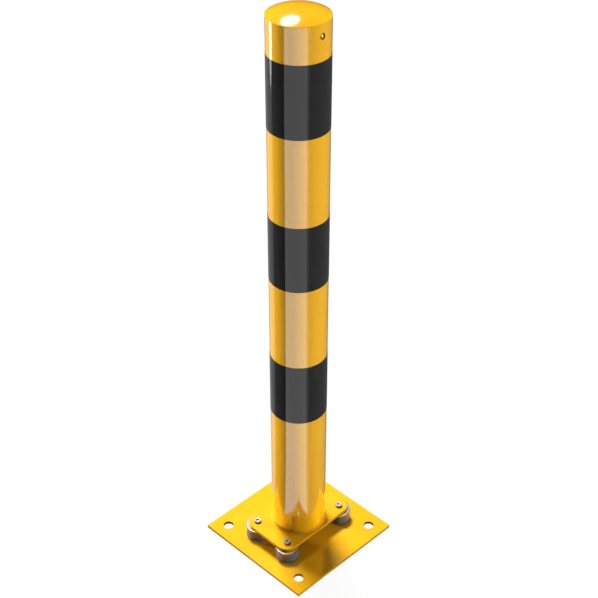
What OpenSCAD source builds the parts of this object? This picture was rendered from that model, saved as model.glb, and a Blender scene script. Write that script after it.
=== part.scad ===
// Flexible bollard: a steel tube post with a domed cap, welded to a rounded flange plate that stands
// on four rubber-metal buffers, which are screwed to a square base plate.
// Millimetres. +Z is up, and z = 0 is the underside of the base plate, with the origin at its centre.
// +X is the side that the vent hole faces, +Y runs along the flange plate's long side.

/* [Base plate] */
// Side of the square base plate
base_side = 250; // [220:5:320]
// Thickness of the base plate
base_t = 6; // [6:0.5:12]
// Diameter of the four ground anchor holes
anchor_d = 19; // [12:0.5:24]
// Distance from the plate's edges to the anchor hole centres
anchor_edge = 29; // [22:1:36]
// Width of the broken edge round the steel plates
edge_break = 0.6; // [0.2:0.1:1]

/* [Buffers] */
// Distance between buffer centres along X
buffer_pitch_x = 80; // [70:1:100]
// Distance between buffer centres along Y
buffer_pitch_y = 140; // [130:1:170]
// Diameter of a buffer's steel discs
buffer_d = 45; // [40:1:56]
// Height of a buffer over both discs
buffer_h = 25; // [22:1:40]
// Thickness of each steel disc
disc_t = 2.5; // [1.5:0.5:3]
// How far the rubber stays back from the rim of the discs
rubber_back = 0.5; // [0.2:0.1:1.5]
// Outer diameter of the threaded bush on each disc
bush_d = 16; // [13:0.5:20]
// Depth of the bush's threaded hole, counted from the outer face of the disc
thread_depth = 6.5; // [5:0.5:8]
// Thickness of the bush's closed end
bush_floor = 1; // [0.5:0.5:1.5]
// Free space between a bush and the pocket in the rubber
pocket_gap = 0.3; // [0.2:0.1:0.6]

/* [Flange plate] */
// Distance from the screws to the flange plate's long edges
flange_edge_x = 16; // [14:1:30]
// Distance from the screws to the flange plate's short edges
flange_edge_y = 18; // [14:1:30]
// Thickness of the flange plate
flange_t = 6; // [4:0.5:10]
// Radius of the flange plate's corners
flange_corner_r = 18; // [8:1:22]
// Diameter of the drain hole under the tube
drain_d = 30; // [12:1:50]

/* [Post] */
// Overall height of the bollard
overall_h = 1075; // [1000:5:1300]
// Outer diameter of the tube
tube_d = 101.6; // [88.9:0.1:104]
// Wall thickness of the tube
tube_wall = 3.6; // [2:0.1:5]
// Height of the dome above the cap's rim
dome_rise = 13; // [6:1:20]
// Height of the cap's straight edge, which stands on the tube
cap_edge = 3; // [2:0.5:5]
// Thickness of the cap's domed sheet
cap_t = 3; // [2:0.5:4]
// Leg of the fillet weld between tube and flange plate
weld_leg = 2; // [1.5:0.5:4]
// Diameter of the vent hole near the top
vent_d = 10; // [5:0.5:16]
// Distance from the cap's rim down to the vent hole's centre
vent_drop = 20; // [14:1:32]

/* [Bands] */
// Height of a black band
band_h = 125; // [80:5:150]
// Height of the yellow field between two bands
band_gap = 159; // [100:1:200]
// Distance from the cap's rim down to the first band
band_drop = 60; // [50:1:80]
// Thickness of the band film
film_t = 0.3; // [0.2:0.1:0.6]
// Space between the tube and the film
film_gap = 0.1; // [0.05:0.05:0.2]

/* [Screws] */
// Thread diameter of all eight screws
screw_d = 8; // [6:1:8]
// Space between a screw's tip and the bottom of its thread
tip_gap = 0.5; // [0.2:0.1:1]
// Diameter of a flange screw's head
head_d = 13; // [12:0.5:16]
// Height of a flange screw's head
head_h = 5; // [4:0.5:8]
// Bevel round the top of a flange screw's head
head_bevel = 0.6; // [0.3:0.1:1]
// Diameter of a base plate screw's countersunk head
csk_d = 15; // [14:0.5:16]
// How far a countersunk head lies inside the base plate's underside
csk_recess = 0.3; // [0.1:0.1:0.6]
// Hexagon key width of the screw sockets
key_w = 5; // [4:1:6]
// Depth of the screw sockets
key_depth = 2.6; // [2:0.2:3]
// Clearance diameter added to a screw's own in the plates
hole_play = 1; // [0.5:0.1:2]
// Radial space between a screw and what it seats or threads in
fit_gap = 0.05; // [0.02:0.01:0.1]

/* [Hidden] */
$fn = 96;
cut = 1;
yellow = [0.98, 0.80, 0.12];
black = [0.10, 0.10, 0.11];
zinc = [0.78, 0.79, 0.80];
rubber_black = [0.17, 0.17, 0.18];

tube_r = tube_d / 2;
bore_r = tube_r - tube_wall;
flange_w = buffer_pitch_x + 2 * flange_edge_x;
flange_l = buffer_pitch_y + 2 * flange_edge_y;
buffer_z = base_t;
flange_z = buffer_z + buffer_h;
tube_z = flange_z + flange_t;
rim_z = overall_h - dome_rise;
cap_z = rim_z - cap_edge;
dome_r = (tube_r * tube_r + dome_rise * dome_rise) / (2 * dome_rise);
anchor_at = base_side / 2 - anchor_edge;
buffer_x = buffer_pitch_x / 2;
buffer_y = buffer_pitch_y / 2;
key_r = key_w / 2 / cos(30);
csk_cone = (csk_d - screw_d) / 2;
base_screw_len = base_t - csk_recess + thread_depth - tip_gap;
flange_screw_len = flange_t + thread_depth - tip_gap;

// Places of the four buffers: name, side along X, side along Y
PLACES = [["front", 1, -1], ["left", -1, -1], ["right", 1, 1], ["rear", -1, 1]];
BANDS = ["band_upper", "band_middle", "band_lower"];
BUFFER_PIECES = ["bottom_disc_", "rubber_", "top_disc_", "base_screw_", "flange_screw_"];

// Moves its children to one of the four buffer centres
module at(place) {
    translate([place[1] * buffer_x, place[2] * buffer_y, 0]) children();
}

// A straight bar of plate along X with broken long edges, centred on the origin
module plate_bar(length, width, thick) {
    b = edge_break;
    w = width / 2;
    rotate([90, 0, 90]) linear_extrude(length, center = true)
        polygon([[-w + b, 0], [w - b, 0], [w, b], [w, thick - b],
                 [w - b, thick], [-w + b, thick], [-w, thick - b], [-w, b]]);
}

// A rectangular plate with sharp corners and broken edges
module square_plate(width, length, thick) {
    intersection() {
        plate_bar(width, length, thick);
        rotate(90) plate_bar(length, width, thick);
        translate([0, 0, thick / 2]) cube([width, length, thick], center = true);
    }
}

// A disc with broken edges
module disc_plate(r, thick) {
    b = edge_break;
    rotate_extrude()
        polygon([[0, 0], [r - b, 0], [r, b], [r, thick - b], [r - b, thick], [0, thick]]);
}

// A rectangular plate with round corners and broken edges
module round_plate(width, length, thick, corner_r) {
    plate_bar(width - 2 * corner_r, length, thick);
    rotate(90) plate_bar(length - 2 * corner_r, width, thick);
    for (x = [-1, 1], y = [-1, 1])
        translate([x * (width / 2 - corner_r), y * (length / 2 - corner_r), 0])
            disc_plate(corner_r, thick);
}

// Outline of a hexagon key socket, sunk upwards from z = 0
module key_socket() {
    translate([0, 0, -cut]) linear_extrude(key_depth + cut) circle(key_r, $fn = 6);
}

// Square base plate, drilled for the ground anchors and countersunk below for the buffer screws
module base_plate() {
    color(yellow) difference() {
        square_plate(base_side, base_side, base_t);
        for (x = [-1, 1], y = [-1, 1])
            translate([x * anchor_at, y * anchor_at, -cut]) cylinder(h = base_t + 2 * cut, d = anchor_d);
        for (place = PLACES) at(place) {
            translate([0, 0, -cut]) cylinder(h = base_t + 2 * cut, d = screw_d + hole_play);
            translate([0, 0, -cut]) cylinder(h = csk_recess + cut, r = csk_d / 2 + fit_gap);
            translate([0, 0, csk_recess])
                cylinder(h = csk_cone, r1 = csk_d / 2 + fit_gap, r2 = screw_d / 2 + fit_gap);
        }
    }
}

// Rounded plate that carries the post and rests on the four buffers
module flange_plate() {
    color(yellow) translate([0, 0, flange_z]) difference() {
        round_plate(flange_w, flange_l, flange_t, flange_corner_r);
        translate([0, 0, -cut]) cylinder(h = flange_t + 2 * cut, d = drain_d);
        for (place = PLACES) at(place)
            translate([0, 0, -cut]) cylinder(h = flange_t + 2 * cut, d = screw_d + hole_play);
    }
}

// Steel tube with the vent hole through one wall
module post_tube() {
    color(yellow) difference() {
        translate([0, 0, tube_z]) cylinder(h = cap_z - tube_z, r = tube_r);
        translate([0, 0, tube_z - cut]) cylinder(h = cap_z - tube_z + 2 * cut, r = bore_r);
        translate([bore_r / 2, 0, rim_z - vent_drop]) rotate([0, 90, 0])
            cylinder(h = tube_r, d = vent_d);
    }
}

// Fillet weld round the tube's foot
module foot_weld() {
    color(yellow) translate([0, 0, tube_z]) rotate_extrude()
        translate([tube_r + fit_gap, 0]) intersection() {
            circle(weld_leg);
            square(weld_leg);
        }
}

// Domed cap of pressed sheet with a flat edge that seats on the tube's end
module post_cap() {
    dome_z = cap_edge + dome_rise - dome_r;
    color(yellow) translate([0, 0, cap_z]) rotate_extrude() difference() {
        intersection() {
            square([tube_r, cap_edge + dome_rise]);
            translate([0, dome_z]) circle(dome_r);
        }
        intersection() {
            translate([-cut, -cut]) square([bore_r + cut, cap_edge + dome_rise]);
            translate([0, dome_z]) circle(dome_r - cap_t);
        }
    }
}

// One black film band, counted from the top
module band(i) {
    top = rim_z - band_drop - i * (band_h + band_gap);
    color(black) translate([0, 0, top - band_h]) difference() {
        cylinder(h = band_h, r = tube_r + film_gap + film_t);
        translate([0, 0, -cut]) cylinder(h = band_h + 2 * cut, r = tube_r + film_gap);
    }
}

// Steel disc of a buffer with its threaded bush pointing up into the rubber
module threaded_disc() {
    bush_len = thread_depth + bush_floor;
    difference() {
        union() {
            disc_plate(buffer_d / 2, disc_t);
            cylinder(h = bush_len - edge_break, d = bush_d);
            translate([0, 0, bush_len - edge_break])
                cylinder(h = edge_break, d1 = bush_d, d2 = bush_d - 2 * edge_break);
        }
        translate([0, 0, -cut]) cylinder(h = thread_depth + cut, r = screw_d / 2 + fit_gap);
    }
}

// Lower disc of a buffer, on the base plate
module bottom_disc(place) {
    color(zinc) at(place) translate([0, 0, buffer_z]) threaded_disc();
}

// Upper disc of a buffer, under the flange plate
module top_disc(place) {
    color(zinc) at(place) translate([0, 0, flange_z]) mirror([0, 0, 1]) threaded_disc();
}

// Rubber block between the discs, moulded round both bushes
module rubber_block(place) {
    pocket_r = bush_d / 2 + pocket_gap;
    pocket_h = thread_depth + bush_floor - disc_t + pocket_gap;
    block_h = buffer_h - 2 * disc_t;
    color(rubber_black) at(place) translate([0, 0, buffer_z + disc_t]) difference() {
        cylinder(h = block_h, r = buffer_d / 2 - rubber_back);
        translate([0, 0, -cut]) cylinder(h = pocket_h + cut, r = pocket_r);
        translate([0, 0, block_h - pocket_h]) cylinder(h = pocket_h + cut, r = pocket_r);
    }
}

// Countersunk socket screw that holds a buffer to the base plate from below
module base_screw(place) {
    color(zinc) at(place) translate([0, 0, csk_recess]) difference() {
        union() {
            cylinder(h = csk_cone, r1 = csk_d / 2, r2 = screw_d / 2);
            cylinder(h = base_screw_len, d = screw_d);
        }
        key_socket();
    }
}

// Low-head socket screw that holds the flange plate to a buffer
module flange_screw(place) {
    r = head_d / 2;
    color(zinc) at(place) translate([0, 0, tube_z]) difference() {
        union() {
            rotate_extrude()
                polygon([[0, 0], [r, 0], [r, head_h - head_bevel], [r - head_bevel, head_h], [0, head_h]]);
            translate([0, 0, -flange_screw_len]) cylinder(h = flange_screw_len + cut, d = screw_d);
        }
        translate([0, 0, head_h]) mirror([0, 0, 1]) key_socket();
    }
}

base_plate();
flange_plate();
post_tube();
foot_weld();
post_cap();
for (i = [0 : len(BANDS) - 1])
    band(i);
for (place = PLACES) {
    bottom_disc(place);
    rubber_block(place);
    top_disc(place);
    base_screw(place);
    flange_screw(place);
}
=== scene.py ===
"""Flexible bollard: a yellow steel post with black bands on four rubber-metal buffers and a base plate.

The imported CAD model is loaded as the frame. Each operator builds one of the bollard's pieces over it,
in metres and in the same place, and the last one sets up the studio. The main sizes start from the frame.
"""

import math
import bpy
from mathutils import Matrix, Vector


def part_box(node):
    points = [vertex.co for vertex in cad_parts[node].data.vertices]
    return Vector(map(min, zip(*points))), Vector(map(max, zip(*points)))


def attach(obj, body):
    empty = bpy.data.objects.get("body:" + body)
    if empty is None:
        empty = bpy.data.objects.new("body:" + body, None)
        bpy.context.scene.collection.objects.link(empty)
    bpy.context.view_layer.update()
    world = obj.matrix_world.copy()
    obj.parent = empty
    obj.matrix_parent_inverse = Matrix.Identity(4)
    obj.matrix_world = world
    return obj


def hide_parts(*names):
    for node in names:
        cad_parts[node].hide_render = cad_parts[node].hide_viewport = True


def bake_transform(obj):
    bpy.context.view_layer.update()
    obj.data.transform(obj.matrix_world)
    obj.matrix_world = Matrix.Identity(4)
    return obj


bl_info = {
    "name": "Flexible Bollard",
    "version": (1, 0, 0),
    "blender": (4, 5, 0),
    "location": "3D View > Sidebar > Bollard",
    "description": "Builds the plates, post, bands, buffers and screws of a flexible bollard",
    "category": "Object",
}

import bmesh
import bpy
from bpy.props import FloatProperty, FloatVectorProperty, IntProperty, PointerProperty
from mathutils import Matrix, Vector

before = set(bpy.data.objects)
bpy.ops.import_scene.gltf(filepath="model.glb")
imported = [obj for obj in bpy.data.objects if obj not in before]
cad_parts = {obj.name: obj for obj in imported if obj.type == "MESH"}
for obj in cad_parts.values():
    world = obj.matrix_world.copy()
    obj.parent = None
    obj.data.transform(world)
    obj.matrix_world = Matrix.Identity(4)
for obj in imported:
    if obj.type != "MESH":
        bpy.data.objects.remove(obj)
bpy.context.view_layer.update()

MM = 0.001

# The buffers' names and the sides of X and Y on which they stand
PLACES = {"front": (1, -1), "left": (-1, -1), "right": (1, 1), "rear": (-1, 1)}

# How finely the round shapes are drawn, beside the post's own segments
HOLE_SIDES = 64
SCREW_SIDES = 48
BUFFER_SIDES = 96
WALL_STEPS = 4

# The circle along which the trees sweep a profile, and how close points are merged
TURNING_RADIUS = 50 * MM
SEAM_GAP = 0.002 * MM
DOUBLES_GAP = 0.001 * MM

# A plate's face that looks up less than this gets the edge paint, whose colour is the yellow darkened to
# this share: painted shade on the plates' sides, roundings and undersides
LEAST_UPWARD = 0.99
PAINTED_SIDE_SHADE = 0.58

# Space between the tube and the black film
FILM_GAP = 0.02 * MM

# The photograph's camera, with its angles in degrees
CAMERA_PLACE = Vector((1.29100, -1.29100, 1.843987))
CAMERA_TILT = 35.4326
CAMERA_TURN = 45

base_low, base_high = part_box("base_plate")
flange_low, flange_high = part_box("flange_plate")
tube_low, tube_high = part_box("post_tube")
weld_low, weld_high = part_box("foot_weld")
cap_low, cap_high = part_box("post_cap")
band_low, band_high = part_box("band_upper")
next_band_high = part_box("band_middle")[1]
disc_low, disc_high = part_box("bottom_disc_right")
rubber_low, rubber_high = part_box("rubber_right")
screw_low, screw_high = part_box("flange_screw_right")
buffer_centre = (rubber_low + rubber_high) / 2


def metres(name, description, default):
    """A size that the user can set."""
    return FloatProperty(name=name, description=description, default=default, unit="LENGTH")


def count(name, description, default, least):
    """A number of things that the user can set."""
    return IntProperty(name=name, description=description, default=default, min=least)


def strength(name, description, default):
    """A lamp's power or the sky's strength, which the user can set."""
    return FloatProperty(name=name, description=description, default=default)


def colour(name, description, default):
    """A colour that the user can set."""
    return FloatVectorProperty(
        name=name, description=description, default=default, subtype="COLOR", min=0, max=1
    )


class BollardPlates(bpy.types.PropertyGroup):
    base_side: metres("Base Side", "Side of the square base plate", base_high.x - base_low.x)
    base_thickness: metres("Base Thickness", "Thickness of the base plate", base_high.z - base_low.z)
    anchor_diameter: metres("Anchor Hole", "Diameter of the ground anchor holes", 19 * MM)
    anchor_edge: metres(
        "Anchor Edge", "Distance from an anchor hole's centre to both edges of the plate", 29 * MM
    )
    flange_width: metres("Flange Width", "Short side of the flange plate", flange_high.x - flange_low.x)
    flange_length: metres("Flange Length", "Long side of the flange plate", flange_high.y - flange_low.y)
    flange_corner: metres("Flange Corner", "Corner radius of the flange plate", 18 * MM)
    drain_diameter: metres("Drain Hole", "Diameter of the drain hole under the post", 30 * MM)
    screw_hole: metres("Screw Hole", "Diameter of the clearance holes for the screws", 9 * MM)
    countersink: metres(
        "Countersink", "Widest diameter of the countersinks under the base plate", 15.1 * MM
    )
    countersink_step: metres(
        "Countersink Step", "Height of the straight step at the mouth of a countersink", 0.3 * MM
    )
    edge_rounding: metres(
        "Edge Rounding", "Radius of the paint-softened edges of both plates", 0.7 * MM
    )


class BollardPost(bpy.types.PropertyGroup):
    diameter: metres("Post Diameter", "Outside diameter of the tube", tube_high.x - tube_low.x)
    wall: metres("Tube Wall", "Wall thickness of the tube", 3.6 * MM)
    cap_side: metres("Cap Side", "Height of the cap's upright edge", 3 * MM)
    cap_sheet: metres("Cap Sheet", "Thickness of the cap", 3 * MM)
    cap_rounding: metres(
        "Cap Rounding", "Radius between the cap's upright edge and its dome", 0.9 * MM
    )
    vent_diameter: metres("Vent Hole", "Diameter of the vent hole near the top", 10 * MM)
    vent_drop: metres(
        "Vent Drop", "Distance from the tube's top end down to the vent hole's centre", 17 * MM
    )
    vent_lip: metres("Vent Lip", "Rounding of the vent hole's outer edge", 0.7 * MM)
    band_width: metres("Band Width", "Height of one black band", band_high.z - band_low.z)
    band_pitch: metres(
        "Band Pitch", "Distance from one band to the next", band_high.z - next_band_high.z
    )
    band_count: count("Bands", "Number of black bands", 3, 1)
    film_thickness: metres("Film Thickness", "Thickness of the black film", 0.3 * MM)
    weld_ripple: metres(
        "Weld Ripple", "Height of the ripples in the weld at the post's foot", 0.12 * MM
    )
    weld_ripples: count("Weld Ripples", "Number of ripples round the weld", 110, 8)
    segments: count("Segments", "Number of faces round the post", 192, 32)


class BollardBuffers(bpy.types.PropertyGroup):
    pitch_x: metres(
        "Pitch Across", "Distance between the buffers along the flange's short side", 2 * buffer_centre.x
    )
    pitch_y: metres(
        "Pitch Along", "Distance between the buffers along the flange's long side", 2 * buffer_centre.y
    )
    diameter: metres("Buffer Diameter", "Diameter of the steel discs", disc_high.x - disc_low.x)
    disc_thickness: metres("Disc Thickness", "Thickness of a steel disc", rubber_low.z - disc_low.z)
    disc_rounding: metres("Disc Rounding", "Radius of the discs' edges", 0.45 * MM)
    bush_diameter: metres("Bush Diameter", "Diameter of the threaded bush on a disc", 16 * MM)
    thread_diameter: metres("Thread Diameter", "Diameter of the threaded hole in a bush", 8.1 * MM)
    bush_floor: metres("Bush Floor", "Thickness of the closed end of a bush", 1 * MM)
    pocket_gap: metres("Pocket Gap", "Space between a bush and its pocket in the rubber", 0.3 * MM)
    head_diameter: metres("Screw Head", "Diameter of a flange screw's head", screw_high.x - screw_low.x)
    shank_diameter: metres("Screw Shank", "Diameter of a flange screw's shank", 8 * MM)
    key_width: metres("Key Width", "Width across the flats of the hexagon socket", 5 * MM)
    key_depth: metres("Key Depth", "Depth of the hexagon socket", 2.6 * MM)
    turn_seed: IntProperty(
        name="Turn Seed", description="Seed of the angles at which the screws stand", default=4
    )


class BollardFinish(bpy.types.PropertyGroup):
    yellow: colour("Yellow Paint", "Colour of the paint on the plates and the post", (0.94, 0.475, 0.007))
    black: colour("Black Film", "Colour of the bands", (0.020, 0.020, 0.0205))
    zinc: colour("Zinc", "Colour of the plated discs", (0.57, 0.51, 0.48))
    steel: colour("Screw Steel", "Colour of the screws", (0.24, 0.22, 0.22))
    rubber: colour("Rubber", "Colour of the buffers' rubber", (0.105, 0.112, 0.125))


class BollardStudio(bpy.types.PropertyGroup):
    floor_side: metres("Floor Side", "Side of the square floor", 16)
    key_power: strength("Key Power", "Power of the lamp high behind the post, in watts", 2750)
    softbox_power: strength(
        "Softbox Power", "Power of the small round softbox that stands at the left, in watts", 2.2
    )
    left_power: strength("Left Power", "Power of the large soft lamp at the left, in watts", 940)
    right_power: strength("Right Power", "Power of the large soft lamp at the right, in watts", 500)
    vent_power: strength(
        "Vent Power", "Power of the tiny lamp in the tube that shows through the vent, in watts", 0.0001
    )
    sky: strength("Sky", "Strength of the even light from all round", 0.18)


def add_node(tree, kind, inputs=None, **settings):
    """Add a node to a tree, set its own settings, and fill or link its inputs.

    An input that is given as a node is linked to that node's first output."""
    node = tree.nodes.new(kind)
    for key, value in settings.items():
        setattr(node, key, value)
    for key, value in (inputs or {}).items():
        if isinstance(value, bpy.types.Node):
            value = value.outputs[0]
        if isinstance(value, bpy.types.NodeSocket):
            tree.links.new(value, node.inputs[key])
        else:
            node.inputs[key].default_value = value
    return node


def maths(tree, operation, *values):
    """A maths node over these values."""
    return add_node(tree, "ShaderNodeMath", dict(enumerate(values)), operation=operation)


def vector_maths(tree, operation, *values):
    """A vector maths node over these values."""
    return add_node(tree, "ShaderNodeVectorMath", dict(enumerate(values)), operation=operation)


def smooth_step(tree, value, start, end, low=0.0, high=1.0):
    """A number that goes softly from low to high while a value goes from start to end."""
    ends = {"From Min": start, "From Max": end, "To Min": low, "To Max": high}
    return add_node(
        tree, "ShaderNodeMapRange", {"Value": value, **ends}, interpolation_type="SMOOTHSTEP"
    )


def noise(tree, place, scale, detail):
    """Soft noise at a place."""
    return add_node(tree, "ShaderNodeTexNoise", {"Vector": place, "Scale": scale, "Detail": detail})


def object_place(tree):
    """The place of a point of the surface in its object's coordinates."""
    return add_node(tree, "ShaderNodeTexCoord").outputs["Object"]


def start_tree(name, kind, inputs, output, output_type):
    """Make a node group with one output, and return it with both ends' sockets.

    Each input has a default, whose type tells the socket's, or else the name of a socket's type."""
    sockets = {
        float: "NodeSocketFloat",
        int: "NodeSocketInt",
        Vector: "NodeSocketVector",
        tuple: "NodeSocketColor",
    }
    tree = bpy.data.node_groups.new(name, kind)
    for label, default in inputs.items():
        has_default = type(default) in sockets
        socket_type = sockets[type(default)] if has_default else default
        socket = tree.interface.new_socket(label, in_out="INPUT", socket_type=socket_type)
        if has_default:
            socket.default_value = default
    tree.interface.new_socket(output, in_out="OUTPUT", socket_type=output_type)
    source = tree.nodes.new("NodeGroupInput")
    result = tree.nodes.new("NodeGroupOutput")
    return tree, source.outputs, result.inputs


def shape_tree(name, inputs):
    """Start a geometry tree with one geometry in, one out, and a material to set."""
    sockets = {"Geometry": "NodeSocketGeometry", **inputs, "Material": "NodeSocketMaterial"}
    return start_tree(name, "GeometryNodeTree", sockets, "Geometry", "NodeSocketGeometry")


def end_shape_tree(tree, given, result, geometry):
    """End a geometry tree in real geometry that carries the material."""
    real = add_node(tree, "GeometryNodeRealizeInstances", {"Geometry": geometry})
    painted = add_node(
        tree, "GeometryNodeSetMaterial", {"Geometry": real, "Material": given["Material"]}
    )
    tree.links.new(painted.outputs[0], result["Geometry"])
    return tree


def sweep_round(tree, profile, radius, segments):
    """Sweep a profile curve once round the Z axis, and close it at the axis."""
    path = add_node(tree, "GeometryNodeCurvePrimitiveCircle", {"Resolution": segments, "Radius": radius})
    upright = add_node(tree, "GeometryNodeSetCurveNormal", {"Curve": path}, mode="Z_UP")
    swept = add_node(tree, "GeometryNodeCurveToMesh", {"Curve": upright, "Profile Curve": profile})
    return add_node(tree, "GeometryNodeMergeByDistance", {"Geometry": swept, "Distance": SEAM_GAP})


def turned_tree():
    """Geometry tree that turns a drawn profile round the Z axis."""
    found = bpy.data.node_groups.get("Turned Profile")
    if found:
        return found
    inputs = {"Turning Radius": 50 * MM, "Segments": 96}
    tree, given, result = shape_tree("Turned Profile", inputs)
    profile = add_node(tree, "GeometryNodeMeshToCurve", {"Mesh": given["Geometry"]})
    body = sweep_round(tree, profile, given["Turning Radius"], given["Segments"])
    return end_shape_tree(tree, given, result, body)


def bands_tree():
    """Geometry tree that wraps equal bands of film round the post, one below the other."""
    inputs = {
        "Film Radius": 51 * MM,
        "Film Thickness": 0.3 * MM,
        "Band Width": 125 * MM,
        "First Band": Vector((0, 0, 0)),
        "Pitch": Vector((0, 0, 0)),
        "Bands": 3,
        "Edge Rounding": 0.1 * MM,
        "Segments": 192,
    }
    tree, given, result = shape_tree("Post Bands", inputs)
    section = add_node(
        tree,
        "GeometryNodeCurvePrimitiveQuadrilateral",
        {"Width": given["Film Thickness"], "Height": given["Band Width"]},
    )
    rounded = add_node(
        tree,
        "GeometryNodeFilletCurve",
        {"Curve": section, "Count": 3, "Radius": given["Edge Rounding"]},
        mode="POLY",
    )
    ring = sweep_round(tree, rounded, given["Film Radius"], given["Segments"])
    places = add_node(
        tree,
        "GeometryNodeMeshLine",
        {"Count": given["Bands"], "Start Location": given["First Band"], "Offset": given["Pitch"]},
        mode="OFFSET",
    )
    bands = add_node(tree, "GeometryNodeInstanceOnPoints", {"Points": places, "Instance": ring})
    return end_shape_tree(tree, given, result, bands)


def buffer_places_tree():
    """Geometry tree that sets one piece at the four buffers, each turned by its own angle."""
    found = bpy.data.node_groups.get("Buffer Places")
    if found:
        return found
    inputs = {"Pitch Across": 80 * MM, "Pitch Along": 140 * MM, "Largest Turn": 0.0, "Turn Seed": 4}
    tree, given, result = shape_tree("Buffer Places", inputs)
    pitches = {"Size X": given["Pitch Across"], "Size Y": given["Pitch Along"]}
    places = add_node(tree, "GeometryNodeMeshGrid", {**pitches, "Vertices X": 2, "Vertices Y": 2})
    angle = add_node(
        tree,
        "FunctionNodeRandomValue",
        {"Max": given["Largest Turn"], "Seed": given["Turn Seed"]},
        data_type="FLOAT",
    )
    turn = add_node(tree, "ShaderNodeCombineXYZ", {"Z": next(s for s in angle.outputs if s.enabled)})
    pieces = add_node(
        tree,
        "GeometryNodeInstanceOnPoints",
        {"Points": places, "Instance": given["Geometry"], "Rotation": turn},
    )
    return end_shape_tree(tree, given, result, pieces)


def weld_tree():
    """Geometry tree that turns a fillet profile and lays the welder's ripples along it.

    The ripples lean as they climb, only lower the surface, and fade out at both legs."""
    inputs = {
        "Turning Radius": 50 * MM,
        "Segments": 720,
        "Leg": 3 * MM,
        "Foot Height": 37 * MM,
        "Ripples": 110.0,
        "Ripple Height": 0.1 * MM,
    }
    tree, given, result = shape_tree("Weld Bead", inputs)
    profile = add_node(tree, "GeometryNodeMeshToCurve", {"Mesh": given["Geometry"]})
    fillet = sweep_round(tree, profile, given["Turning Radius"], given["Segments"])
    here = add_node(tree, "GeometryNodeInputPosition")
    x, y, z = add_node(tree, "ShaderNodeSeparateXYZ", {0: here}).outputs
    flat = add_node(tree, "ShaderNodeCombineXYZ", {"X": x, "Y": y, "Z": 0.0})
    reach = vector_maths(tree, "LENGTH", flat).outputs["Value"]
    beyond = maths(tree, "SUBTRACT", reach, given["Turning Radius"])
    above = maths(tree, "SUBTRACT", z, given["Foot Height"])
    share = maths(tree, "DIVIDE", maths(tree, "MINIMUM", beyond, above), given["Leg"])
    steps = maths(tree, "MULTIPLY", maths(tree, "ARCTAN2", y, x), given["Ripples"])
    wave = maths(tree, "SINE", maths(tree, "MULTIPLY_ADD", share, 4.0, steps))
    height = maths(tree, "MULTIPLY", maths(tree, "SUBTRACT", wave, 1.0), given["Ripple Height"])
    lift = maths(tree, "MULTIPLY", height, smooth_step(tree, share, 0.05, 0.4))
    tilt = vector_maths(tree, "ADD", vector_maths(tree, "NORMALIZE", flat), (0.0, 0.0, 1.0))
    move = add_node(tree, "ShaderNodeVectorMath", {0: tilt, "Scale": lift}, operation="SCALE")
    rippled = add_node(tree, "GeometryNodeSetPosition", {"Geometry": fillet, "Offset": move})
    return end_shape_tree(tree, given, result, rippled)


def settle(piece):
    """Keep what a piece's modifiers make as its plain mesh, and remove them."""
    depsgraph = bpy.context.evaluated_depsgraph_get()
    made = bpy.data.meshes.new_from_object(piece.evaluated_get(depsgraph), depsgraph=depsgraph)
    drawn = piece.data
    piece.modifiers.clear()
    piece.data = made
    bpy.data.meshes.remove(drawn)
    made.name = piece.name
    return piece


def run_tree(piece, tree, inputs):
    """Give a piece a geometry tree with these named inputs, and keep the result as its mesh."""
    modifier = piece.modifiers.new(tree.name, "NODES")
    modifier.node_group = tree
    sockets = {
        item.name: item.identifier
        for item in tree.interface.items_tree
        if item.item_type == "SOCKET" and item.in_out == "INPUT"
    }
    for name, value in inputs.items():
        modifier[sockets[name]] = value
    return settle(piece)


def new_piece(name, mesh, material=None):
    """Put a mesh into the scene as a piece at the origin."""
    piece = bpy.data.objects.new(name, mesh)
    bpy.context.scene.collection.objects.link(piece)
    if material:
        mesh.materials.append(material)
    return piece


def finish_piece(piece, sharp_angle=35):
    """Turn a piece's faces outwards, smooth it, and keep its flat faces flat."""
    shell = bmesh.new()
    shell.from_mesh(piece.data)
    bmesh.ops.remove_doubles(shell, verts=shell.verts, dist=DOUBLES_GAP)
    bmesh.ops.recalc_face_normals(shell, faces=shell.faces)
    shell.to_mesh(piece.data)
    shell.free()
    piece.data.shade_smooth()
    piece.data.set_sharp_from_angle(angle=math.radians(sharp_angle))
    even = piece.modifiers.new("Even Normals", "WEIGHTED_NORMAL")
    even.keep_sharp = True
    return settle(piece)


def hand_over(piece, body, slot, *nodes):
    """Attach a piece to the CAD body it rides on, and hide the CAD nodes it stands for. The slot argument
    is not used.
    """
    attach(piece, body)
    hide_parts(*nodes)


def at_buffers(words):
    """The names of the four CAD nodes that start with these words."""
    return [f"{words}_{place}" for place in PLACES]


def circle_loop(centre, radius, count):
    """Points of a circle, anticlockwise."""
    steps = [math.tau * i / count for i in range(count)]
    return [Vector((centre[0] + radius * math.cos(a), centre[1] + radius * math.sin(a))) for a in steps]


def dome_arc(radius, centre, widest, steps):
    """Corners (across, up, 0) of an arc round a height, from straight above it to its widest angle."""
    angles = [widest * k / steps for k in range(steps + 1)]
    return [(radius * math.sin(a), centre + radius * math.cos(a), 0) for a in angles]


def rectangle(across, along, third):
    """Corners (x, y, third) of a rectangle round the Z axis, anticlockwise."""
    return [(x * across, y * along, third) for x, y in ((-1, -1), (1, -1), (1, 1), (-1, 1))]


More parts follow.
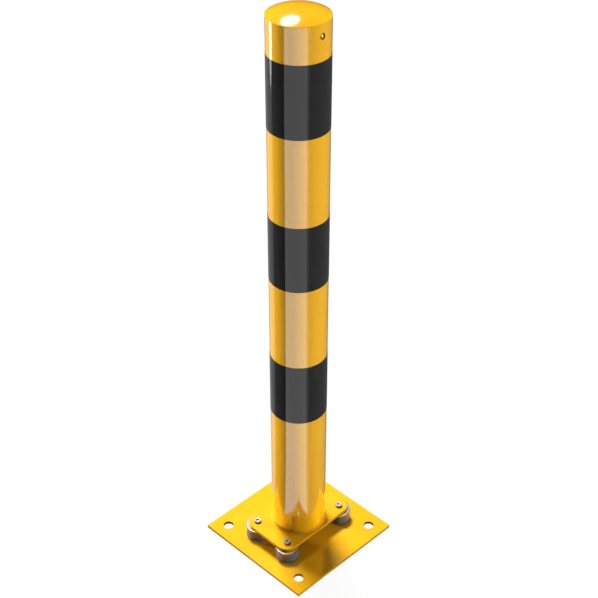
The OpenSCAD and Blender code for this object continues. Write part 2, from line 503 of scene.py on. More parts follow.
def round_corners(corners, closed, steps=5):
    """Round each (across, up, radius) corner of an outline with a small arc."""
    points = []
    last = len(corners) - 1
    for i, (across, up, radius) in enumerate(corners):
        here = Vector((across, up))
        if radius <= 0 or (not closed and i in (0, last)):
            points.append(here)
            continue
        back = (Vector(corners[i - 1][:2]) - here).normalized()
        ahead = (Vector(corners[(i + 1) % len(corners)][:2]) - here).normalized()
        half = back.angle(ahead) / 2
        centre = here + (back + ahead).normalized() * (radius / math.sin(half))
        start = here + back * (radius / math.tan(half)) - centre
        end = here + ahead * (radius / math.tan(half)) - centre
        first = math.atan2(start.y, start.x)
        sweep = math.atan2(start.x * end.y - start.y * end.x, start.dot(end))
        for k in range(steps + 1):
            a = first + sweep * k / steps
            points.append(centre + radius * Vector((math.cos(a), math.sin(a))))
    return points


def outward_ways(loop):
    """For each point of an anticlockwise loop, the step that moves its two sides out by one."""
    ways = []
    for i, here in enumerate(loop):
        back = (here - loop[i - 1]).normalized()
        ahead = (loop[(i + 1) % len(loop)] - here).normalized()
        side = Vector((ahead.y, -ahead.x))
        way = (Vector((back.y, -back.x)) + side).normalized()
        ways.append(way / way.dot(side))
    return ways


def quarter_turn(steps):
    """The angles of a quarter circle."""
    return [math.pi / 2 * k / steps for k in range(steps + 1)]


def rounded_wall(low, high, edge):
    """Rings (inset, height) down a plate's side, with a quarter round above and below."""
    turns = quarter_turn(WALL_STEPS)
    upper = [(edge * (1 - math.sin(a)), high - edge * (1 - math.cos(a))) for a in turns]
    lower = [(edge * (1 - math.sin(a)), low + edge * (1 - math.cos(a))) for a in reversed(turns)]
    return upper + lower


def four_holes(across, along, diameter, sides, rings):
    """Four round holes of a plate, at these distances from its middle, with rings down their walls."""
    return [
        (circle_loop((x * across, y * along), diameter / 2, sides), rings)
        for x in (-1, 1)
        for y in (-1, 1)
    ]


def screw_holes(scene, rings):
    """The holes of a plate for the buffers' screws."""
    buffers = scene.bollard_buffers
    diameter = scene.bollard_plates.screw_hole
    return four_holes(buffers.pitch_x / 2, buffers.pitch_y / 2, diameter, SCREW_SIDES, rings)


def plate_piece(name, outline, wall, holes):
    """Build a painted plate from its outline and its holes, each a loop with rings down its wall."""
    shell = bmesh.new()
    rims = ([], [])
    for loop, rings, inwards in [(outline, wall, -1)] + [(loop, rings, 1) for loop, rings in holes]:
        ways = outward_ways(loop)
        made = [
            [shell.verts.new((*(p + way * inset * inwards), height)) for p, way in zip(loop, ways)]
            for inset, height in rings
        ]
        for upper, lower in zip(made, made[1:]):
            for i in range(len(loop)):
                j = (i + 1) % len(loop)
                shell.faces.new((upper[i], lower[i], lower[j], upper[j]))
        for rim, ring in zip(rims, (made[0], made[-1])):
            rim += [shell.edges.get((ring[i - 1], ring[i])) for i in range(len(loop))]
    for rim, way in zip(rims, (1, -1)):
        bmesh.ops.triangle_fill(shell, use_beauty=True, edges=rim, normal=(0, 0, way))
    mesh = bpy.data.meshes.new(name)
    shell.to_mesh(mesh)
    shell.free()
    mesh.materials.append(yellow_paint())
    mesh.materials.append(shaded_edge_paint())
    # Faces that look up less than LEAST_UPWARD get the darkened edge paint: painted shade on the plate's
    # sides, roundings and undersides
    for face in mesh.polygons:
        face.material_index = int(face.normal.z < LEAST_UPWARD)
    return finish_piece(new_piece(name, mesh))


def lofted_mesh(name, rings):
    """Join equal rings of points into one shell, closed at its first and last ring."""
    shell = bmesh.new()
    made = [[shell.verts.new(point) for point in ring] for ring in rings]
    for lower, upper in zip(made, made[1:]):
        for i in range(len(lower)):
            shell.faces.new((lower[i - 1], lower[i], upper[i], upper[i - 1]))
    shell.faces.new(made[0])
    shell.faces.new(made[-1])
    mesh = bpy.data.meshes.new(name)
    shell.to_mesh(mesh)
    shell.free()
    return mesh


def profile_piece(name, points, closed):
    """Draw a profile of (radius, height) points for the trees that turn it round the Z axis."""
    edges = [(i, i + 1) for i in range(len(points) - 1)]
    if closed:
        edges.append((len(points) - 1, 0))
    mesh = bpy.data.meshes.new(name)
    mesh.from_pydata([(r - TURNING_RADIUS, -z, 0) for r, z in points], edges, [])
    return new_piece(name, mesh)


def turned_piece(name, points, closed, material, segments, sharp_angle=35):
    """Turn a profile of (radius, height) points into a piece."""
    piece = profile_piece(name, points, closed)
    inputs = {"Turning Radius": TURNING_RADIUS, "Segments": segments, "Material": material}
    run_tree(piece, turned_tree(), inputs)
    return finish_piece(piece, sharp_angle)


def set_at_buffers(piece, buffers, material, largest_turn=0.0):
    """Repeat a piece at the four buffers."""
    inputs = {
        "Pitch Across": buffers.pitch_x,
        "Pitch Along": buffers.pitch_y,
        "Largest Turn": largest_turn,
        "Turn Seed": buffers.turn_seed,
        "Material": material,
    }
    return run_tree(piece, buffer_places_tree(), inputs)


def build_colour_drift(name):
    """Slow, faint changes of a colour over the surface."""
    inputs = {"Color": (0.8, 0.8, 0.8, 1), "Amount": 0.05, "Scale": 8.0}
    tree, given, result = start_tree(name, "ShaderNodeTree", inputs, "Color", "NodeSocketColor")
    centred = maths(tree, "SUBTRACT", noise(tree, object_place(tree), given["Scale"], 3.0), 0.5)
    value = maths(tree, "MULTIPLY_ADD", centred, given["Amount"], 1.0)
    hue_share = maths(tree, "MULTIPLY", given["Amount"], 0.08)
    hue = maths(tree, "MULTIPLY_ADD", centred, hue_share, 0.5)
    parts = {"Hue": hue, "Value": value, "Color": given["Color"]}
    drifted = add_node(tree, "ShaderNodeHueSaturation", parts)
    tree.links.new(drifted.outputs[0], result["Color"])
    return tree


def build_handling_marks(name):
    """Roughness with faint rubbed patches and hairline streaks."""
    inputs = {"Roughness": 0.3, "Amount": 0.05, "Scale": 10.0}
    tree, given, result = start_tree(name, "ShaderNodeTree", inputs, "Roughness", "NodeSocketFloat")
    place = object_place(tree)
    patches = smooth_step(tree, noise(tree, place, given["Scale"], 4.0), 0.45, 0.75)
    stretched = add_node(tree, "ShaderNodeMapping", {"Vector": place, "Scale": (90.0, 90.0, 12.0)})
    streaks = smooth_step(tree, noise(tree, stretched, 3.0, 2.0), 0.6, 0.75, high=0.5)
    both = maths(tree, "ADD", patches, streaks)
    rough = maths(tree, "MULTIPLY_ADD", both, given["Amount"], given["Roughness"])
    tree.links.new(rough.outputs[0], result["Roughness"])
    return tree


def build_surface_grain(name):
    """Fine unevenness of a sprayed or moulded surface, as a height."""
    inputs = {"Scale": 400.0}
    tree, given, result = start_tree(name, "ShaderNodeTree", inputs, "Height", "NodeSocketFloat")
    grain = noise(tree, object_place(tree), given["Scale"], 1.0)
    tree.links.new(grain.outputs[0], result["Height"])
    return tree


def build_settled_dust(name):
    """A thin film of dust on what faces upwards."""
    inputs = {"Color": (0.8, 0.8, 0.8, 1), "Dust": (0.45, 0.42, 0.38, 1), "Amount": 0.03}
    tree, given, result = start_tree(name, "ShaderNodeTree", inputs, "Color", "NodeSocketColor")
    facing = add_node(tree, "ShaderNodeNewGeometry").outputs["Normal"]
    axes = add_node(tree, "ShaderNodeSeparateXYZ", {0: facing})
    upward = smooth_step(tree, axes.outputs["Z"], 0.3, 0.95)
    thick = maths(tree, "MULTIPLY", noise(tree, object_place(tree), 35.0, 6.0), upward)
    share = maths(tree, "MULTIPLY", thick, given["Amount"])
    colours = {6: given["Color"], 7: given["Dust"]}
    dusty = add_node(tree, "ShaderNodeMix", {"Factor": share, **colours}, data_type="RGBA")
    tree.links.new(dusty.outputs[2], result["Color"])
    return tree


def use_group(tree, name, build, inputs):
    """Place a shader group in a material. It is built once, where it is first used."""
    group = bpy.data.node_groups.get(name) or build(name)
    return add_node(tree, "ShaderNodeGroup", inputs, node_tree=group)


def finish_material(name, base_colour, drift, dust, roughness, marks, grain, shader_values):
    """A material from its colour, its faint faults, its roughness and its grain.

    drift is (amount, scale), marks is (amount, scale) and grain is (scale, height)."""
    found = bpy.data.materials.get(name)
    if found:
        return found
    material = bpy.data.materials.new(name)
    material.use_nodes = True
    tree = material.node_tree
    shader = tree.nodes["Principled BSDF"]
    inputs = {"Color": (*base_colour, 1), "Amount": drift[0], "Scale": drift[1]}
    tint = use_group(tree, "Colour Drift", build_colour_drift, inputs)
    dusted = use_group(tree, "Settled Dust", build_settled_dust, {"Color": tint, "Amount": dust})
    inputs = {"Roughness": roughness, "Amount": marks[0], "Scale": marks[1]}
    rubbed = use_group(tree, "Handling Marks", build_handling_marks, inputs)
    sprayed = use_group(tree, "Surface Grain", build_surface_grain, {"Scale": grain[0]})
    bump = add_node(tree, "ShaderNodeBump", {"Strength": 1.0, "Distance": grain[1], "Height": sprayed})
    for key, node in (("Base Color", dusted), ("Roughness", rubbed), ("Normal", bump)):
        tree.links.new(node.outputs[0], shader.inputs[key])
    for key, value in shader_values.items():
        shader.inputs[key].default_value = value
    return material


def yellow_paint():
    """Gloss paint: a slightly uneven sprayed coat with a clear, shiny skin."""
    return finish_material(
        "Yellow Paint",
        bpy.context.scene.bollard_finish.yellow,
        drift=(0.05, 7.0),
        dust=0.01,
        roughness=0.12,
        marks=(0.05, 14.0),
        grain=(350.0, 0.0015 * MM),
        shader_values={
            "Metallic": 0.07,
            "IOR": 1.75,
            "Coat Weight": 1.0,
            "Coat Roughness": 0.085,
            "Coat IOR": 1.65,
        },
    )


def shaded_edge_paint():
    """The same paint on the plates' sides, roundings and undersides: rougher, with its colour darkened as
    painted shade.
    """
    return finish_material(
        "Shaded Edge Paint",
        # The colour is the yellow darkened to a share of itself: painted shade
        [PAINTED_SIDE_SHADE * share for share in bpy.context.scene.bollard_finish.yellow],
        drift=(0.08, 30.0),
        dust=0.02,
        roughness=0.5,
        marks=(0.08, 40.0),
        grain=(900.0, 0.004 * MM),
        shader_values={"IOR": 1.25},
    )


def black_film():
    """Smooth plastic film."""
    return finish_material(
        "Black Film",
        bpy.context.scene.bollard_finish.black,
        drift=(0.3, 20.0),
        dust=0.01,
        roughness=0.07,
        marks=(0.04, 22.0),
        grain=(500.0, 0.001 * MM),
        shader_values={"IOR": 1.5},
    )


def zinc_plate():
    """Plated steel with a soft, faintly clouded shine."""
    return finish_material(
        "Zinc Plate",
        bpy.context.scene.bollard_finish.zinc,
        drift=(0.12, 120.0),
        dust=0.02,
        roughness=0.24,
        marks=(0.03, 90.0),
        grain=(1500.0, 0.0008 * MM),
        shader_values={"Metallic": 1.0},
    )


def screw_steel():
    """Screw steel, duller and darker than the plated discs."""
    return finish_material(
        "Screw Steel",
        bpy.context.scene.bollard_finish.steel,
        drift=(0.2, 150.0),
        dust=0.02,
        roughness=0.42,
        marks=(0.08, 120.0),
        grain=(1800.0, 0.001 * MM),
        shader_values={"Metallic": 1.0},
    )


def moulded_rubber():
    """Satin rubber with a fine grain and a trace of dust."""
    return finish_material(
        "Moulded Rubber",
        bpy.context.scene.bollard_finish.rubber,
        drift=(0.25, 45.0),
        dust=0.06,
        roughness=0.30,
        marks=(0.12, 60.0),
        grain=(2200.0, 0.006 * MM),
        shader_values={"IOR": 1.6},
    )


class BOLLARD_OT_base_plate(bpy.types.Operator):
    """Build the square base plate with its anchor holes and countersinks"""

    bl_idname = "bollard.base_plate"
    bl_label = "Base Plate"

    def execute(self, context):
        plates = context.scene.bollard_plates
        half = plates.base_side / 2
        low = base_low.z
        wall = rounded_wall(low, low + plates.base_thickness, plates.edge_rounding)
        reach = half - plates.anchor_edge
        holes = four_holes(reach, reach, plates.anchor_diameter, HOLE_SIDES, wall)
        mouth = (plates.countersink - plates.screw_hole) / 2
        step = low + plates.countersink_step
        upper_rings = wall[: WALL_STEPS + 1]
        holes += screw_holes(context.scene, upper_rings + [(0, step + mouth), (mouth, step), (mouth, low)])
        outline = round_corners(rectangle(half, half, plates.edge_rounding), True)
        plate = plate_piece("base_plate_painted", outline, wall, holes)
        hand_over(plate, "base", "yellow_paint", "base_plate")
        return {"FINISHED"}


class BOLLARD_OT_flange_plate(bpy.types.Operator):
    """Build the round-cornered plate that carries the post"""

    bl_idname = "bollard.flange_plate"
    bl_label = "Flange Plate"

    def execute(self, context):
        plates = context.scene.bollard_plates
        wall = rounded_wall(flange_low.z, flange_high.z, plates.edge_rounding)
        holes = [(circle_loop((0, 0), plates.drain_diameter / 2, HOLE_SIDES), wall)]
        holes += screw_holes(context.scene, wall)
        corners = rectangle(plates.flange_width / 2, plates.flange_length / 2, plates.flange_corner)
        outline = round_corners(corners, True, steps=16)
        plate = plate_piece("flange_plate_painted", outline, wall, holes)
        hand_over(plate, "post", "yellow_paint", "flange_plate")
        return {"FINISHED"}


class BOLLARD_OT_post_tube(bpy.types.Operator):
    """Turn the tube and cut its vent hole with a softened lip"""

    bl_idname = "bollard.post_tube"
    bl_label = "Post Tube"

    def execute(self, context):
        post = context.scene.bollard_post
        outer = post.diameter / 2
        inner = outer - post.wall
        profile = [(inner, tube_low.z), (outer, tube_low.z), (outer, tube_high.z), (inner, tube_high.z)]
        tube = turned_piece("post_tube_painted", profile, True, yellow_paint(), post.segments)
        cutter = new_piece("vent_cutter", self.vent_cutter(post, outer), yellow_paint())
        cut = tube.modifiers.new("Vent Hole", "BOOLEAN")
        cut.object = cutter
        cut.solver = "EXACT"
        settle(tube)
        bpy.data.objects.remove(cutter)
        tube.data.shade_smooth()
        tube.data.normals_split_custom_set(self.tube_normals(tube.data, post, outer))
        hand_over(tube, "post", "yellow_paint", "post_tube")
        return {"FINISHED"}

    def vent_cutter(self, post, outer):
        """A plug along X whose outer end flares into the lip, and follows the round wall.

        Each ring has its radius and its depth below the wall's face, or else its place along X."""
        radius = post.vent_diameter / 2
        lip = post.vent_lip
        height = tube_high.z - post.vent_drop
        lip_angles = [math.radians(80) * k / 6 for k in range(7)]
        rings = [(radius, None, outer - 3 * post.wall)]
        rings += [(radius + lip * (1 - math.cos(a)), lip * (1 - math.sin(a)), None) for a in lip_angles]
        rings += [(rings[-1][0], -3 * lip, None)]
        made = []
        for reach, depth, place in rings:
            ring = []
            for point in circle_loop((0, 0), reach, HOLE_SIDES):
                face = math.sqrt(outer**2 - point.x**2)
                across = place if depth is None else face - depth
                ring.append((across, point.x, height + point.y))
            made.append(ring)
        mesh = lofted_mesh("vent_cutter", made)
        shell = bmesh.new()
        shell.from_mesh(mesh)
        bmesh.ops.recalc_face_normals(shell, faces=shell.faces)
        bmesh.ops.triangulate(shell, faces=[f for f in shell.faces if len(f.verts) > 4])
        shell.to_mesh(mesh)
        shell.free()
        return mesh

    def tube_normals(self, mesh, post, outer):
        """True normals of the round walls, the flat ends, the vent hole and its lip."""
        radius = post.vent_diameter / 2
        lip = post.vent_lip
        height = tube_high.z - post.vent_drop
        middle = outer - post.wall / 2
        normals = []
        for face in mesh.polygons:
            off_vent = Vector((face.center.y, face.center.z - height)).length
            in_vent = face.center.x > 0 and off_vent < radius + lip * 0.8
            for corner in face.loop_indices:
                spot = mesh.vertices[mesh.loops[corner].vertex_index].co
                radial = Vector((spot.x, spot.y, 0)).normalized()
                if in_vent:
                    hole = Vector((0, spot.y, spot.z - height))
                    share = min(max((hole.length - radius) / lip, 0), 1)
                    normal = radial * math.sqrt(1 - (1 - share) ** 2) - hole.normalized() * (1 - share)
                elif abs(face.normal.z) > 0.9:
                    normal = face.normal
                else:
                    normal = radial if Vector(face.center[:2]).length > middle else -radial
                normals.append(normal.normalized())
        return normals


class BOLLARD_OT_post_cap(bpy.types.Operator):
    """Turn the domed cap that closes the post"""

    bl_idname = "bollard.post_cap"
    bl_label = "Post Cap"

    def execute(self, context):
        post = context.scene.bollard_post
        outer = post.diameter / 2
        inner = outer - post.wall
        rim = cap_low.z + post.cap_side
        rise = cap_high.z - rim
        dome = (outer**2 + rise**2) / (2 * rise)
        under = dome - post.cap_sheet
        centre = cap_high.z - dome
        above = dome_arc(dome, centre, math.asin(outer / dome), 48)[:-1]
        side = [(outer, rim, post.cap_rounding), (outer, cap_low.z, 0), (inner, cap_low.z, 0)]
        below = dome_arc(under, centre, math.asin(inner / under), 24)[::-1]
        profile = round_corners(above + side + below, False, steps=6)
        cap = turned_piece("post_cap_painted", profile, False, yellow_paint(), post.segments, 50)
        hand_over(cap, "post", "yellow_paint", "post_cap")
        return {"FINISHED"}


class BOLLARD_OT_bands(bpy.types.Operator):
    """Wrap the black bands round the post"""

    bl_idname = "bollard.bands"
    bl_label = "Black Bands"

    def execute(self, context):
        post = context.scene.bollard_post
        bands = new_piece("black_bands", bpy.data.meshes.new("black_bands"))
        inputs = {
            "Film Radius": (post.diameter + post.film_thickness) / 2 + FILM_GAP,
            "Film Thickness": post.film_thickness,
            "Band Width": post.band_width,
            "First Band": (0.0, 0.0, band_high.z - post.band_width / 2),
            "Pitch": (0.0, 0.0, -post.band_pitch),
            "Bands": post.band_count,
            "Edge Rounding": post.film_thickness * 0.35,
            "Segments": post.segments,
            "Material": black_film(),
        }
        run_tree(bands, bands_tree(), inputs)
        finish_piece(bands)
        hand_over(bands, "post", "black_film", "band_upper", "band_middle", "band_lower")
        return {"FINISHED"}


class BOLLARD_OT_foot_weld(bpy.types.Operator):
    """Lay the painted weld round the post's foot"""

    bl_idname = "bollard.foot_weld"
    bl_label = "Foot Weld"

    def execute(self, context):
        post = context.scene.bollard_post
        inner = weld_high.x - (weld_high.z - weld_low.z)
        leg = weld_high.x - inner
        arc = [(inner + leg * math.cos(a), weld_low.z + leg * math.sin(a)) for a in quarter_turn(10)]
        weld = profile_piece("foot_weld_painted", [(inner, weld_low.z)] + arc, True)
        inputs = {
            "Turning Radius": TURNING_RADIUS,
            "Segments": post.weld_ripples * 8,
            "Leg": leg,
            "Foot Height": weld_low.z,
            "Ripples": float(post.weld_ripples),
            "Ripple Height": post.weld_ripple,
            "Material": yellow_paint(),
        }
        run_tree(weld, weld_tree(), inputs)
        finish_piece(weld)
        hand_over(weld, "post", "yellow_paint", "foot_weld")
        return {"FINISHED"}


class BOLLARD_OT_buffer_discs(bpy.types.Operator):
    """Turn the plated discs with their bushes, and give the countersunk screws their steel"""

    bl_idname = "bollard.buffer_discs"
    bl_label = "Buffer Discs"

    def execute(self, context):
        buffers = context.scene.bollard_buffers
        outer = buffers.diameter / 2
        bush = buffers.bush_diameter / 2
        thread = buffers.thread_diameter / 2
        edge = buffers.disc_rounding
        thick = buffers.disc_thickness
        length = disc_high.z - disc_low.z
        floor = length - buffers.bush_floor
        corners = [
            (thread, 0, 0),
            (outer, 0, edge),
            (outer, thick, edge),
            (bush, thick, 0),
            (bush, length, edge),
            (0, length, 0),
            (0, floor, 0),
            (thread, floor, 0),
        ]
        outline = round_corners(corners, True, steps=4)
        pieces = (("bottom_discs", 1, disc_low.z, "base"), ("top_discs", -1, flange_low.z, "post"))
        for name, way, level, body in pieces:
            profile = [(r, level + way * z) for r, z in outline]
            discs = turned_piece(name, profile, True, zinc_plate(), BUFFER_SIDES)
            set_at_buffers(discs, buffers, zinc_plate())
            hand_over(discs, body, "zinc", *at_buffers(name[:-1]))
        for name in at_buffers("base_screw"):
            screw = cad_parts[name]
            screw.data.materials.clear()
            screw.data.materials.append(screw_steel())
        return {"FINISHED"}


class BOLLARD_OT_rubber_blocks(bpy.types.Operator):
    """Mould the rubber blocks, each as a lower and an upper half"""

    bl_idname = "bollard.rubber_blocks"
    bl_label = "Rubber Blocks"

    def execute(self, context):
        buffers = context.scene.bollard_buffers
        outer = (rubber_high.x - rubber_low.x) / 2
        foot_flare = 0.3 * MM
        flare_height = 0.15
        middle = buffer_centre.z
        pocket = buffers.bush_diameter / 2 + buffers.pocket_gap
        pocket_top = disc_high.z + buffers.pocket_gap
        half = middle - rubber_low.z
        side = []
        for share in [k / 12 for k in range(13)]:
            flare = foot_flare * max(0.0, 1 - share / flare_height) ** 2
            side.append((outer + flare, rubber_low.z + half * share))
        lower = [(pocket, rubber_low.z), *side, (0, middle), (0, pocket_top), (pocket, pocket_top)]
        upper = [(r, 2 * middle - z) for r, z in lower]
        halves = (
            ("rubber_lower", lower, ("base", "rubbers"), rubber_low.z, middle),
            ("rubber_upper", upper, ("rubbers", "post"), middle, rubber_high.z),
        )
        for words, profile, bodies, start, end in halves:
            for place, (x, y) in PLACES.items():
                name = f"{words}_{place}"
                block = turned_piece(name, profile, True, moulded_rubber(), BUFFER_SIDES)
                shift = (x * buffers.pitch_x / 2, y * buffers.pitch_y / 2, 0)
                block.data.transform(Matrix.Translation(shift))
                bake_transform(block)
                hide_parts(f"rubber_{place}")
        return {"FINISHED"}


class BOLLARD_OT_flange_screws(bpy.types.Operator):
    """Form the low-head socket screws and set one at each buffer"""

    bl_idname = "bollard.flange_screws"
    bl_label = "Flange Screws"

    def execute(self, context):
        buffers = context.scene.bollard_buffers
        head = buffers.head_diameter / 2
        shank = buffers.shank_diameter / 2
        seat = flange_high.z
        top = screw_high.z
        key = buffers.key_width / 2
        floor = top - buffers.key_depth
        point = 0.6 * MM
        bevel = 0.25 * MM
        crown = ((0, 0.7), (0.12, 0.35), (0.35, 0.12), (0.7, 0), (0.9, 0))
        outside = [
            (shank - point, screw_low.z),
            (shank, screw_low.z + point),
            (shank, seat),
            (head - bevel, seat),
            (head, seat + bevel),
        ]
        outside += [(head - inwards * MM, top - down * MM) for inwards, down in crown]
        outside += [(key / math.cos(math.pi / 6) + 0.35 * MM, top)]
        rings = [self.round_ring(radius, level) for radius, level in outside]
        rings += [
            self.key_ring(key + 0.02 * MM, top - 0.3 * MM),
            self.key_ring(key, top - 0.4 * MM),
            self.key_ring(key, floor),
            self.round_ring(key * 0.9, floor - 0.02 * MM),
            self.round_ring(key * 0.3, floor - 0.7 * MM),
        ]
        screw = new_piece("flange_screws", lofted_mesh("flange_screws", rings), screw_steel())
        finish_piece(screw, 32)
        set_at_buffers(screw, buffers, screw_steel(), math.tau)
        hand_over(screw, "post", "zinc", *at_buffers("flange_screw"))
        return {"FINISHED"}

    def round_ring(self, radius, level):
        """One round ring of a screw."""
        return [(p.x, p.y, level) for p in circle_loop((0, 0), radius, SCREW_SIDES)]

    def key_ring(self, key, level):
        """One hexagonal ring of a screw's socket, with as many points as the round ones."""
        ring = []
        for point in circle_loop((0, 0), 1, SCREW_SIDES):
            angle = math.atan2(point.y, point.x) % (math.pi / 3) - math.pi / 6
            ring.append((*(point * key / math.cos(angle)), level))
        return ring


def stage_surface(name, corners, material):
    """Lay a flat surface of the stage."""
    mesh = bpy.data.meshes.new(name)
    mesh.from_pydata(corners, [], [tuple(range(len(corners)))])
    surface = new_piece(name, mesh, material)
    return surface


def from_camera_side(angle, reach, level=0.0):
    """A place round the post: angle 0 is towards the camera and positive ones go to its right."""
    turn = math.radians(angle - CAMERA_TURN)
    return Vector((reach * math.cos(turn), reach * math.sin(turn), level))


def bare_tree(owner):
    """The emptied node tree of a material or a world."""
    owner.use_nodes = True
    owner.node_tree.nodes.clear()
    return owner.node_tree


def seen_as(tree, path, plain, mirrored, white, camera_share):
    """Mix what most light, the mirrors and the camera get from a surface or the world."""
    in_mirrors = maths(tree, "MAXIMUM", path["Is Glossy Ray"], path["Is Transmission Ray"])
    unseen = add_node(tree, "ShaderNodeMixShader", {0: in_mirrors, 1: plain, 2: mirrored})
    return add_node(tree, "ShaderNodeMixShader", {0: camera_share, 1: unseen, 2: white})


def emitting(name, glow):
    """A material that only glows."""
    material = bpy.data.materials.new(name)
    tree = bare_tree(material)
    light = add_node(tree, "ShaderNodeEmission", {"Strength": glow})
    add_node(tree, "ShaderNodeOutputMaterial", {"Surface": light})
    return material


def floor_material():
    """Floor that is white to the camera, with a faint shadow, and is painted darker near the post so that
    it sends less light back there.
    """
    material = bpy.data.materials.new("Studio Floor")
    tree = bare_tree(material)
    path = add_node(tree, "ShaderNodeLightPath").outputs
    away = vector_maths(tree, "LENGTH", object_place(tree)).outputs["Value"]
    # Near the post the floor's colour for light that bounces off it is darker: painted shade, so the
    # plates' sides get less light from below
    bounce_shade = smooth_step(tree, away, 0.2, 0.45, low=0.08, high=0.46)
    tones = {"Value": path["Is Camera Ray"], "To Min": bounce_shade, "To Max": 0.8}
    matt = add_node(tree, "ShaderNodeBsdfDiffuse", {"Color": add_node(tree, "ShaderNodeMapRange", tones)})
    white = add_node(tree, "ShaderNodeEmission", {"Strength": 1.0})
    pale = add_node(tree, "ShaderNodeEmission", {"Strength": 0.4})
    shadowless = smooth_step(tree, away, 1.0, 3.0, low=0.95)
    camera_share = maths(tree, "MULTIPLY", path["Is Camera Ray"], shadowless)
    shown = seen_as(tree, path, matt, pale, white, camera_share)
    add_node(tree, "ShaderNodeOutputMaterial", {"Surface": shown})
    return material


def light_world(sky):
    """Even light from all round, white to the camera and dim in reflections."""
    world = bpy.data.worlds.new("Studio")
    bpy.context.scene.world = world
    tree = bare_tree(world)
    path = add_node(tree, "ShaderNodeLightPath").outputs
    even = add_node(tree, "ShaderNodeBackground", {"Strength": sky})
    dim = add_node(tree, "ShaderNodeBackground", {"Strength": 0.035})
    white = add_node(tree, "ShaderNodeBackground", {"Color": (1, 1, 1, 1), "Strength": 1.0})
    shown = seen_as(tree, path, even, dim, white, path["Is Camera Ray"])
    add_node(tree, "ShaderNodeOutputWorld", {"Surface": shown})


def soft_lamp(name, place, aim, power, across, height=None):
    """A soft lamp at a place, turned to what it lights. It is round, or oval where it has a height."""
    lamp = bpy.data.lights.new(name, "AREA")
    lamp.shape = "DISK"
    lamp.size = across
    if height:
        lamp.shape = "ELLIPSE"
        lamp.size_y = height
    lamp.energy = power
    holder = bpy.data.objects.new(name, lamp)
    holder.location = place
    holder.rotation_euler = (aim - place).to_track_quat("-Z", "Y").to_euler()
    holder.visible_camera = False
    bpy.context.scene.collection.objects.link(holder)
    return holder


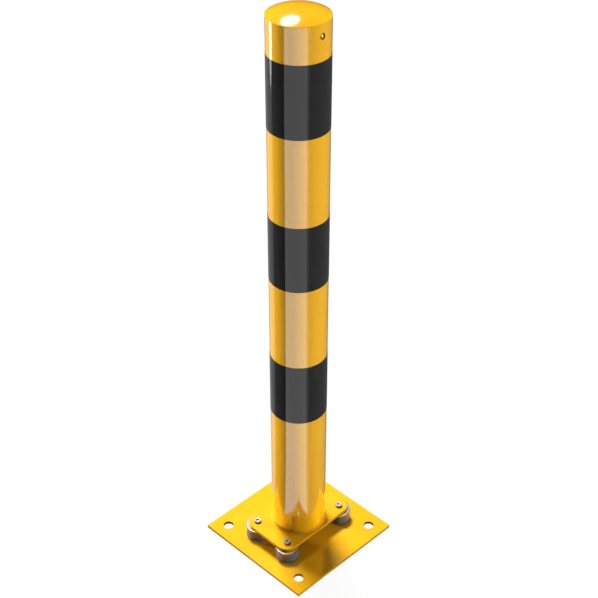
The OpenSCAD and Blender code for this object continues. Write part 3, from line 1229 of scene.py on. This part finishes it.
class BOLLARD_OT_studio(bpy.types.Operator):
    """Set up the floor, the lamps, the reflector cards and the camera"""

    bl_idname = "bollard.studio"
    bl_label = "Studio"

    def execute(self, context):
        studio = context.scene.bollard_studio
        half = studio.floor_side / 2
        floor_level = base_low.z - 0.3 * MM
        card_level = floor_level + 0.1 * MM
        stage_surface("studio_floor", rectangle(half, half, floor_level), floor_material())
        self.reflector("dark_card", -105, -51, card_level, 0.04)
        self.reflector("pale_card", -50, 30, card_level, 1.42)
        self.reflector("grey_card", 30, 39, card_level, 0.5)
        self.reflector("dim_card", 39, 160, card_level, 0.12)
        self.reflector("rear_card", 160, 200, card_level, 0.02)
        self.key_lamp(studio.key_power)
        self.side_lamps(studio)
        self.vent_lamp(context.scene.bollard_post, studio.vent_power)
        light_world(studio.sky)
        self.camera()
        context.scene.view_settings.view_transform = "Standard"
        return {"FINISHED"}

    def reflector(self, name, first, last, level, glow):
        """A card that lies on the floor round the post and shows only in reflections."""
        near, far = 0.05, 3.0
        angles = [first + (last - first) * k / 24 for k in range(25)]
        corners = [from_camera_side(a, near, level) for a in angles]
        corners += [from_camera_side(a, far, level) for a in reversed(angles)]
        card = stage_surface(name, corners, emitting(name, glow))
        card.visible_camera = False
        card.visible_diffuse = False
        card.visible_transmission = False
        card.visible_shadow = False

    def key_lamp(self, power):
        """The main lamp, high behind the post at its left."""
        angle, rise, distance = -159, math.radians(62), 12.0
        across, height = 3.75, 3.1
        way = from_camera_side(angle, math.cos(rise), math.sin(rise))
        place = Vector((0, 0, cap_high.z)) + distance * way
        soft_lamp("key_lamp", place, Vector((0, 0, 0.5)), power, across, height)

    def side_lamps(self, studio):
        """A small softbox that shows in the paint, and two large lamps that don't."""
        foot = Vector((0, 0, 0.25))
        middle = Vector((0, 0, 0.5))
        distance, level, across = 7.5, 0.6, 1.2
        soft_lamp("left_softbox", from_camera_side(-110, 1.95, foot.z), foot, studio.softbox_power, 0.48)
        for name, angle, power in (
            ("left_lamp", -116, studio.left_power),
            ("right_lamp", 79, studio.right_power),
        ):
            lamp = soft_lamp(name, from_camera_side(angle, distance, level), middle, power, across)
            lamp.visible_glossy = False

    def vent_lamp(self, post, power):
        """A tiny lamp in the tube, mirrored to the camera by the wall that shows through the vent.

        Its light has the tint that the painted inside gives to daylight."""
        inner = post.diameter / 2 - post.wall
        vent = Vector(((post.diameter - post.wall) / 2, 0, tube_high.z - post.vent_drop))
        ray = (vent - CAMERA_PLACE).normalized()
        spread = ray.x**2 + ray.y**2
        lean = vent.x * ray.x + vent.y * ray.y
        reach = (math.sqrt(lean**2 - spread * (vent.x**2 + vent.y**2 - inner**2)) - lean) / spread
        spot = vent + reach * ray
        facing = Vector((-spot.x, -spot.y, 0)).normalized()
        across, height, distance = 1.1 * MM, 5.5 * MM, 8 * MM
        place = spot + distance * ray.reflect(facing)
        lamp = soft_lamp("vent_lamp", place, spot, power, across, height)
        lamp.data.color = (1.0, 0.82, 0.34)

    def camera(self):
        """The camera at the photograph's place, angle and lens."""
        lens = bpy.data.cameras.new("camera")
        lens.sensor_width = 36
        lens.lens = 79.12
        lens.shift_x = 0.00067
        holder = bpy.data.objects.new("camera", lens)
        holder.location = CAMERA_PLACE
        holder.rotation_euler = (math.radians(90 - CAMERA_TILT), 0, math.radians(CAMERA_TURN))
        bpy.context.scene.collection.objects.link(holder)
        bpy.context.scene.camera = holder


class BOLLARD_PT_panel(bpy.types.Panel):
    """The bollard's sizes, finishes and pieces"""

    bl_idname = "BOLLARD_PT_panel"
    bl_label = "Flexible Bollard"
    bl_space_type = "VIEW_3D"
    bl_region_type = "UI"
    bl_category = "Bollard"

    def draw(self, context):
        for words in GROUPS:
            group = getattr(context.scene, f"bollard_{words}")
            box = self.layout.box()
            box.label(text=words.capitalize())
            for name in group.bl_rna.properties.keys():
                if name not in ("rna_type", "name"):
                    box.prop(group, name)
        column = self.layout.column()
        for operator in OPERATORS:
            column.operator(operator.bl_idname)


GROUPS = {
    "plates": BollardPlates,
    "post": BollardPost,
    "buffers": BollardBuffers,
    "finish": BollardFinish,
    "studio": BollardStudio,
}
OPERATORS = (
    BOLLARD_OT_base_plate,
    BOLLARD_OT_flange_plate,
    BOLLARD_OT_post_tube,
    BOLLARD_OT_post_cap,
    BOLLARD_OT_bands,
    BOLLARD_OT_foot_weld,
    BOLLARD_OT_buffer_discs,
    BOLLARD_OT_rubber_blocks,
    BOLLARD_OT_flange_screws,
    BOLLARD_OT_studio,
)
CLASSES = (*GROUPS.values(), *OPERATORS, BOLLARD_PT_panel)


def register():
    for cls in CLASSES:
        bpy.utils.register_class(cls)
    for words, group in GROUPS.items():
        setattr(bpy.types.Scene, f"bollard_{words}", PointerProperty(type=group))


def unregister():
    for words in GROUPS:
        delattr(bpy.types.Scene, f"bollard_{words}")
    for cls in reversed(CLASSES):
        bpy.utils.unregister_class(cls)


def main():
    register()
    bpy.ops.bollard.base_plate()
    bpy.ops.bollard.flange_plate()
    bpy.ops.bollard.post_tube()
    bpy.ops.bollard.post_cap()
    bpy.ops.bollard.bands()
    bpy.ops.bollard.foot_weld()
    bpy.ops.bollard.buffer_discs()
    bpy.ops.bollard.rubber_blocks()
    bpy.ops.bollard.flange_screws()
    bpy.ops.bollard.studio()


if __name__ == "__main__":
    main()
